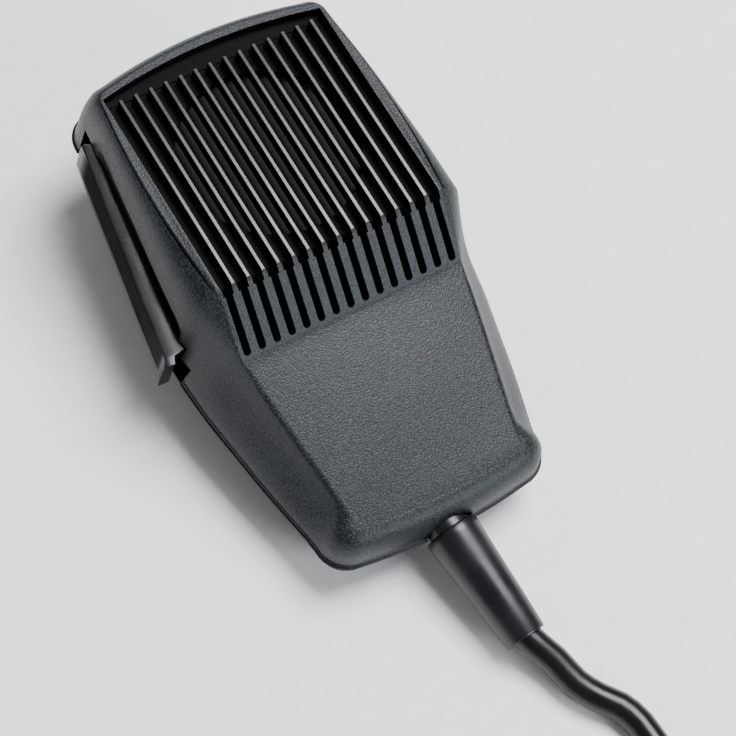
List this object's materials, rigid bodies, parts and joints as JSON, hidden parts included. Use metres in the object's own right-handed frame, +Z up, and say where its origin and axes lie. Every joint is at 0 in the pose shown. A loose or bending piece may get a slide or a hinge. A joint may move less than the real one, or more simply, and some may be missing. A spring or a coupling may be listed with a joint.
{
  "type": "hand microphone",
  "caption": "Hand microphone with a slotted grille, a sprung talk lever on the left side, a curly cord and a locking plug.",
  "frame": {"origin": "centre of the microphone's footprint, on the surface that it lies on, without the cord", "axes": "+Y towards the head end, +X to the right as seen from the front, +Z up; the microphone lies on its back, tilted up at the head by the hang-up button"},
  "size_m": [0.0648, 0.3109, 0.0374],
  "materials": {
    "black_abs": "fine spark-eroded grain",
    "black_rubber": "satin",
    "cord_jacket": "smooth satin",
    "screen_cloth": "woven",
    "bright_steel": "zinc plated",
    "chrome": "nickel-chrome plated",
    "brass": "turned",
    "aluminium": "satin",
    "board_resin": "pressed laminate",
    "switch_resin": "moulded",
    "lead_red": "extruded",
    "lead_white": "extruded"
  },
  "bodies": {
    "housing": {"back_cover": "black_abs", "board_screw_1": "bright_steel", "board_screw_2": "bright_steel", "button_screw": "bright_steel", "button_washer": "bright_steel", "capsule_capacitor": "brass", "capsule_gasket": "black_rubber", "capsule_lead": "lead_red", "capsule_retainer": "bright_steel", "case_screw_1": "bright_steel", "case_screw_2": "bright_steel", "case_screw_3": "bright_steel", "case_screw_4": "bright_steel", "circuit_board": "board_resin", "clamp_screw_1": "bright_steel", "clamp_screw_2": "bright_steel", "cord_clamp": "bright_steel", "cord_tail": "cord_jacket", "curly_cord": "cord_jacket", "dust_screen": "screen_cloth", "front_cover": "black_abs", "hang_up_button": "chrome", "lever_pin": "bright_steel", "microphone_capsule": "aluminium", "plug_contact_1": "brass", "plug_contact_2": "brass", "plug_contact_3": "brass", "plug_contact_4": "brass", "plug_grommet": "black_rubber", "plug_insert": "switch_resin", "plug_lead": "cord_jacket", "plug_shell": "chrome", "retainer_screw_1": "bright_steel", "retainer_screw_2": "bright_steel", "strain_relief": "black_rubber", "switch_body": "switch_resin", "switch_lead": "lead_white", "switch_screw_1": "bright_steel", "switch_screw_2": "bright_steel"},
    "lever": {"talk_lever": "black_abs", "lever_spring": "bright_steel"},
    "plunger": {"switch_plunger": "lead_white"},
    "locking_ring": {"plug_locking_ring": "chrome"}
  },
  "joints": [
    {"name": "talk_lever_hinge", "type": "hinge", "parent": "housing", "child": "lever", "pos_m": [-0.01955, 0.03536, 0.02263], "axis": [0, -0.1125, 0.9937], "range_deg": [0, 5], "stiffness_Nm_per_rad": 0.4, "springref_deg": -2.86},
    {"name": "plunger_slide", "type": "slide", "parent": "housing", "child": "plunger", "axis": [1, 0, 0], "range_m": [0, 0.0012]},
    {"name": "locking_ring_turn", "type": "hinge", "parent": "housing", "child": "locking_ring", "pos_m": [-0.024, -0.11824, 0.0099], "axis": [0, 0.9925, 0.1219], "continuous": true}
  ],
  "couplings": [
    {"joint": "plunger_slide", "follows": "talk_lever_hinge", "m_per_rad": 0.0131}
  ]
}
